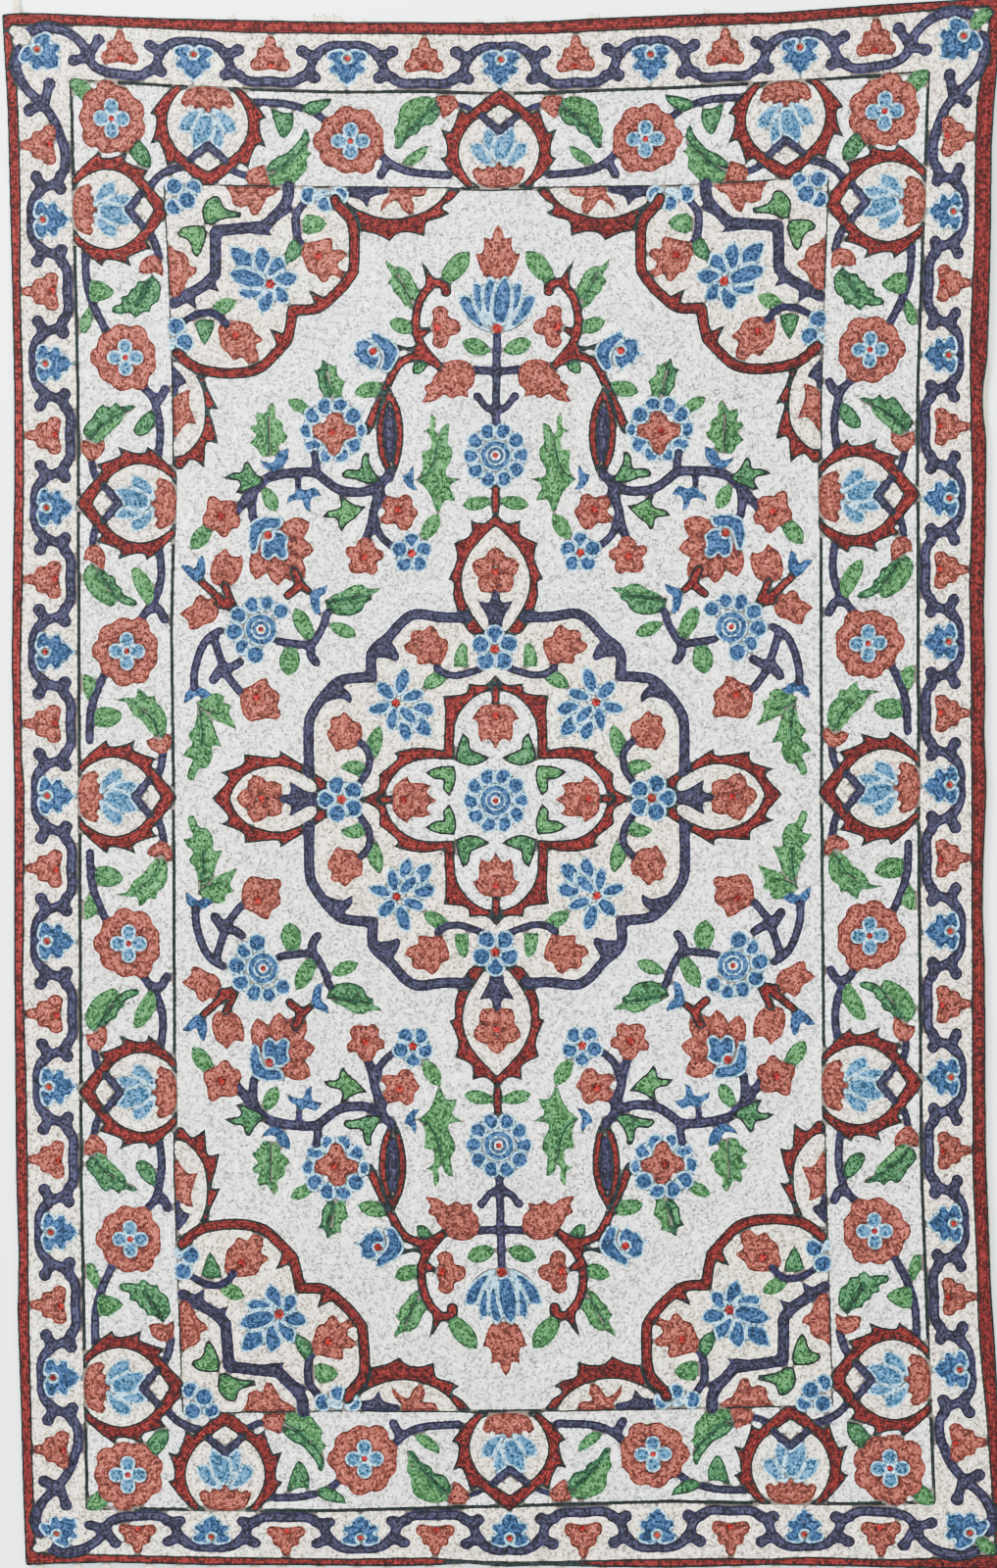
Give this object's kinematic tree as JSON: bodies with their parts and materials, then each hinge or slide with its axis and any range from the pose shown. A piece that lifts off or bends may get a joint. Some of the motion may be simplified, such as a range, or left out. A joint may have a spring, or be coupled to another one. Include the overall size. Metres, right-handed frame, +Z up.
{
  "type": "chain stitch rug",
  "caption": "Rectangular wool chain stitch rug with a medallion pattern, a cotton backing cloth and a knotted cotton fringe at each end, lying flat.",
  "frame": {"origin": "middle of the rug on the flat underside of its backing, which lies on the floor", "axes": "+Z up out of the embroidered face, +Y along the rug towards the end whose fringe is turned under, +X to the right seen from above"},
  "size_m": [0.9383, 1.5728, 0.0071],
  "materials": {
    "embroidery_wool": "matte wool chain stitch in red, blue, violet, green, salmon, white and beige",
    "backing_cotton": "matte plain-woven cotton",
    "fringe_cotton": "matte twisted cotton cord"
  },
  "bodies": {
    "root": {"embroidered_face": "embroidery_wool", "cotton_backing": "backing_cotton", "fringe_bottom": "fringe_cotton", "fringe_top": "fringe_cotton"}
  },
  "joints": []
}
